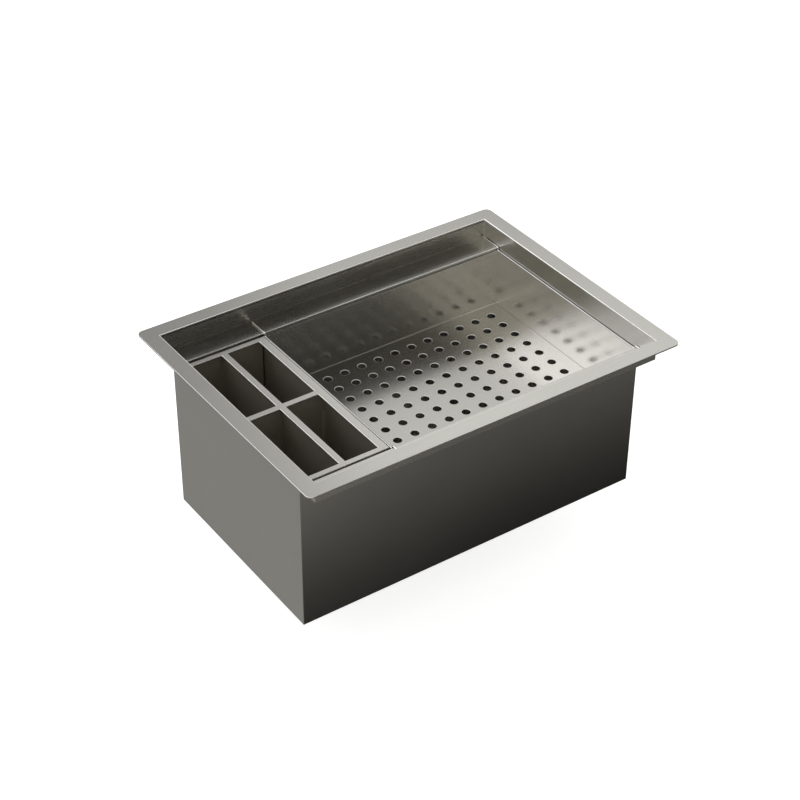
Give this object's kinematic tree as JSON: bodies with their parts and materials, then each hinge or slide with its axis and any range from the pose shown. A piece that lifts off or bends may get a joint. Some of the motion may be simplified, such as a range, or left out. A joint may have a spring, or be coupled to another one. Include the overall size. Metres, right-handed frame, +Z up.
{
  "type": "kitchen work sink",
  "caption": "Deep steel kitchen sink with a flat rim, ledges front and back, a hanging perforated tray, a divided caddy and a basket waste.",
  "frame": {"origin": "centre of the rim, on the plane of its underside, where the sink meets the worktop", "axes": "+Z up, +X to the right along the rim's length, the front towards -Y"},
  "size_m": [0.615, 0.45, 0.369],
  "materials": {
    "bowl_steel": "satin brushed",
    "tray_steel": "fine satin, slightly brighter than the bowl",
    "caddy_steel": "fine satin",
    "waste_steel": "polished",
    "black_rubber": "matt black",
    "fibre": "pressed fibre, matt"
  },
  "bodies": {
    "bowl": {"rim_frame": "bowl_steel", "back_ledge": "bowl_steel", "front_ledge": "bowl_steel", "left_end_wall": "bowl_steel", "right_end_wall": "bowl_steel", "back_wall": "bowl_steel", "front_wall": "bowl_steel", "floor_pan": "bowl_steel", "strainer_body": "waste_steel", "strainer_outlet": "waste_steel", "strainer_seal": "black_rubber", "rubber_washer": "black_rubber", "fibre_ring": "fibre", "locknut": "waste_steel", "tailpiece_washer": "black_rubber", "tailpiece": "waste_steel", "coupling_nut": "waste_steel"},
    "basket": {"basket_cup": "waste_steel", "basket_post": "waste_steel", "basket_stopper": "black_rubber"},
    "tray": {"tray_floor": "tray_steel", "tray_back_wall": "tray_steel", "tray_front_wall": "tray_steel", "tray_left_end": "tray_steel", "tray_right_end": "tray_steel", "tray_left_rod": "tray_steel", "tray_right_rod": "tray_steel", "tray_left_hooks": "tray_steel", "tray_right_hooks": "tray_steel"},
    "caddy": {"caddy_top_frame": "caddy_steel", "caddy_back_wall": "caddy_steel", "caddy_front_wall": "caddy_steel", "caddy_left_wall": "caddy_steel", "caddy_right_wall": "caddy_steel", "caddy_long_divider": "caddy_steel", "caddy_cross_divider": "caddy_steel", "caddy_base": "caddy_steel", "caddy_feet": "black_rubber"}
  },
  "joints": [
    {"name": "tray_lift", "type": "slide", "parent": "bowl", "child": "tray", "axis": [0, 0, 1], "range_m": [0, 0.2]},
    {"name": "caddy_lift", "type": "slide", "parent": "bowl", "child": "caddy", "axis": [0, 0, 1], "range_m": [0, 0.28]},
    {"name": "basket_lift", "type": "slide", "parent": "bowl", "child": "basket", "axis": [0, 0, 1], "range_m": [0, 0.075]}
  ]
}
